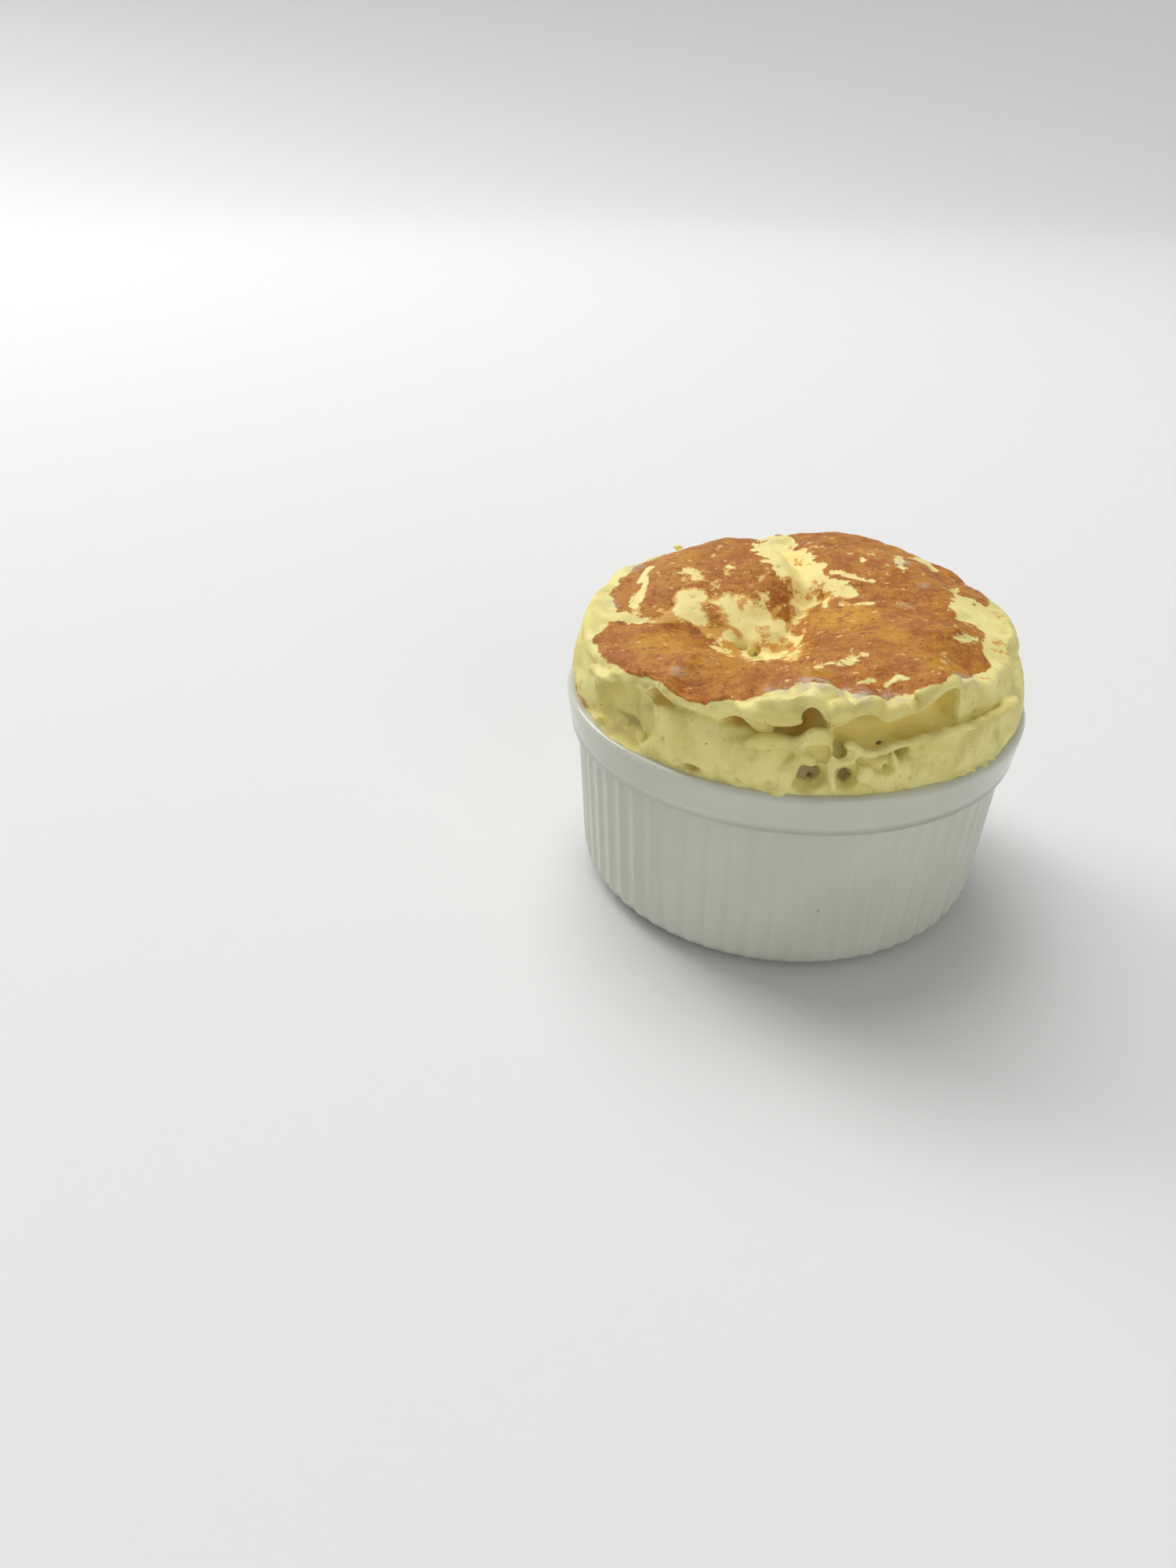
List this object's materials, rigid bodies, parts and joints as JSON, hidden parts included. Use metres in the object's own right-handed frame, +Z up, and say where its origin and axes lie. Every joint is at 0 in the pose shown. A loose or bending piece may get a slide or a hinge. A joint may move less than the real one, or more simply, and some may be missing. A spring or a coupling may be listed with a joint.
{
  "type": "souffle",
  "caption": "Risen souffle with a browned, sunken crust and a torn yellow side, climbing over the rim of the fluted white ramekin that it fills.",
  "frame": {"origin": "middle of the ramekin's base, on the surface that it stands on", "axes": "+Z up, -Y towards the side that the picture shows, +X to the right of it"},
  "size_m": [0.09, 0.09, 0.0623],
  "materials": {
    "porcelain": "white glazed porcelain",
    "souffle": "browned crust over pale yellow crumb, dull"
  },
  "bodies": {
    "root": {"ramekin": "porcelain", "souffle": "souffle"}
  },
  "joints": []
}
